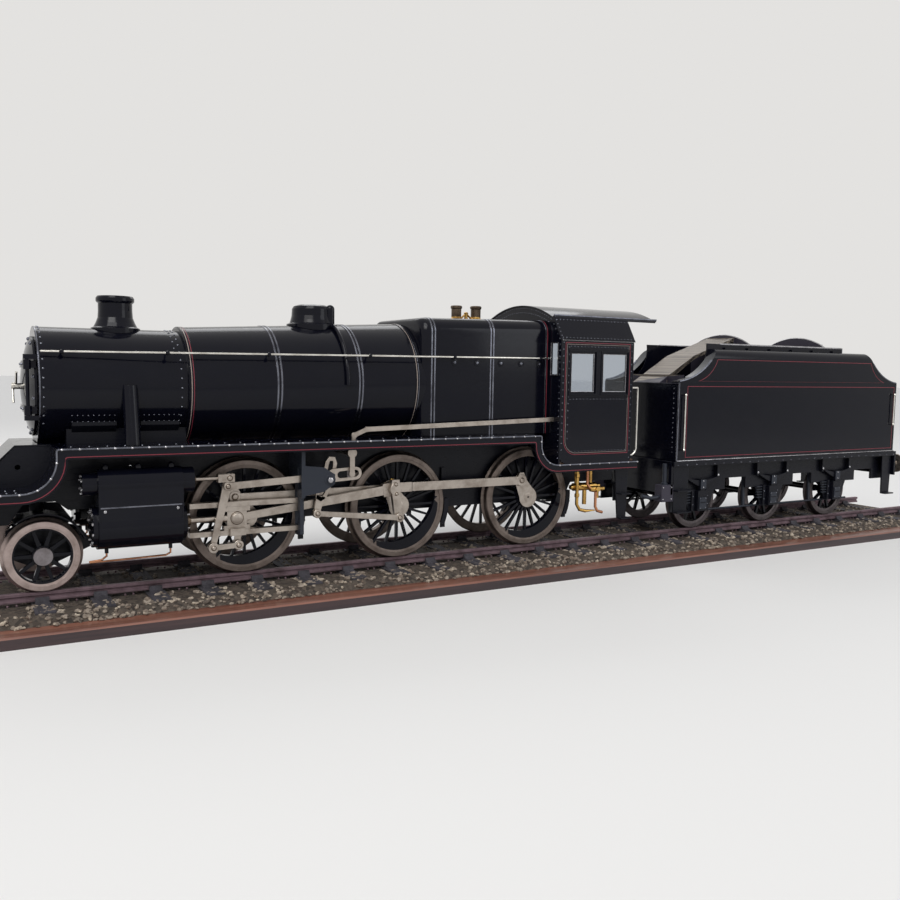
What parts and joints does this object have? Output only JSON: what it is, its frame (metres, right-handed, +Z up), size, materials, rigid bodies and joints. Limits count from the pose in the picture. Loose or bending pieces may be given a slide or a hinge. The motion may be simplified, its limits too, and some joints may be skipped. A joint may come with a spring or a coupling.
{
  "type": "model steam locomotive on display track",
  "caption": "Model of a mixed-traffic steam tender locomotive with outside cylinders and radial valve gear, standing on ballasted track on a polished wooden display board.",
  "frame": {"origin": "middle of the display board's underside", "axes": "+X along the track towards the tender, +Y towards the far side of the picture, +Z up"},
  "size_m": [1.312, 0.228, 0.2915],
  "materials": {
    "black_enamel": "gloss",
    "bright_steel": "brushed",
    "dark_iron": "rough",
    "brass": "polished",
    "window_glass": "clear",
    "cab_planks": "satin",
    "rail_steel": "lightly rusted",
    "sleeper_wood": "stained",
    "ballast": "rough",
    "mahogany": "varnished"
  },
  "bodies": {
    "display_and_engine": {"display_board": "mahogany", "ballast_bed": "ballast", "sleepers": "sleeper_wood", "rails": "rail_steel", "main_frames": "black_enamel", "buffer_beam": "black_enamel", "running_boards": "black_enamel", "pony_truck": "black_enamel", "smokebox": "black_enamel", "smokebox_saddle": "black_enamel", "tube_plate": "dark_iron", "blast_pipe": "dark_iron", "chimney": "black_enamel", "steam_pipes": "black_enamel", "boiler_barrel": "black_enamel", "boiler_bands": "black_enamel", "top_feed": "black_enamel", "firebox": "black_enamel", "safety_valves": "brass", "handrails": "bright_steel", "ashpan": "black_enamel", "cab_sheets": "black_enamel", "cab_windows": "window_glass", "cab_roof": "black_enamel", "cab_floor": "cab_planks", "backhead": "black_enamel", "cylinders": "black_enamel", "cylinder_covers": "black_enamel", "slide_bars": "bright_steel", "piston_rods": "bright_steel", "crossheads": "bright_steel", "connecting_rods": "bright_steel", "coupling_rods": "bright_steel", "return_cranks": "bright_steel", "eccentric_rods": "bright_steel", "expansion_links": "bright_steel", "radius_rods": "bright_steel", "combination_levers": "bright_steel", "union_links": "bright_steel", "motion_brackets": "black_enamel", "reversing_gear": "bright_steel", "driving_wheels": "black_enamel", "brake_gear": "dark_iron", "injectors": "brass", "cab_steps": "black_enamel", "tender_frames": "black_enamel", "tender_springs": "black_enamel", "tender_platform": "black_enamel", "tender_tank": "black_enamel", "tender_sides": "black_enamel", "tender_coal_plates": "black_enamel", "tender_fittings": "black_enamel"},
    "smokebox_door": {"smokebox_door": "black_enamel"},
    "pony_wheelset": {"pony_wheels": "black_enamel"},
    "front_tender_wheelset": {"tender_wheels_front": "black_enamel"},
    "middle_tender_wheelset": {"tender_wheels_middle": "black_enamel"},
    "rear_tender_wheelset": {"tender_wheels_rear": "black_enamel"}
  },
  "joints": [
    {"name": "smokebox_door_hinge", "type": "hinge", "parent": "display_and_engine", "child": "smokebox_door", "pos_m": [-0.5353, -0.042, 0.1985], "axis": [0, 0, 1], "range_deg": [0, 110]},
    {"name": "pony_axle", "type": "hinge", "parent": "display_and_engine", "child": "pony_wheelset", "pos_m": [-0.5275, 0, 0.058], "axis": [0, 1, 0], "continuous": true},
    {"name": "front_tender_axle", "type": "hinge", "parent": "display_and_engine", "child": "front_tender_wheelset", "pos_m": [0.2054, 0, 0.0632], "axis": [0, 1, 0], "continuous": true},
    {"name": "middle_tender_axle", "type": "hinge", "parent": "display_and_engine", "child": "middle_tender_wheelset", "pos_m": [0.3292, 0, 0.0632], "axis": [0, 1, 0], "continuous": true},
    {"name": "rear_tender_axle", "type": "hinge", "parent": "display_and_engine", "child": "rear_tender_wheelset", "pos_m": [0.453, 0, 0.0632], "axis": [0, 1, 0], "continuous": true}
  ]
}
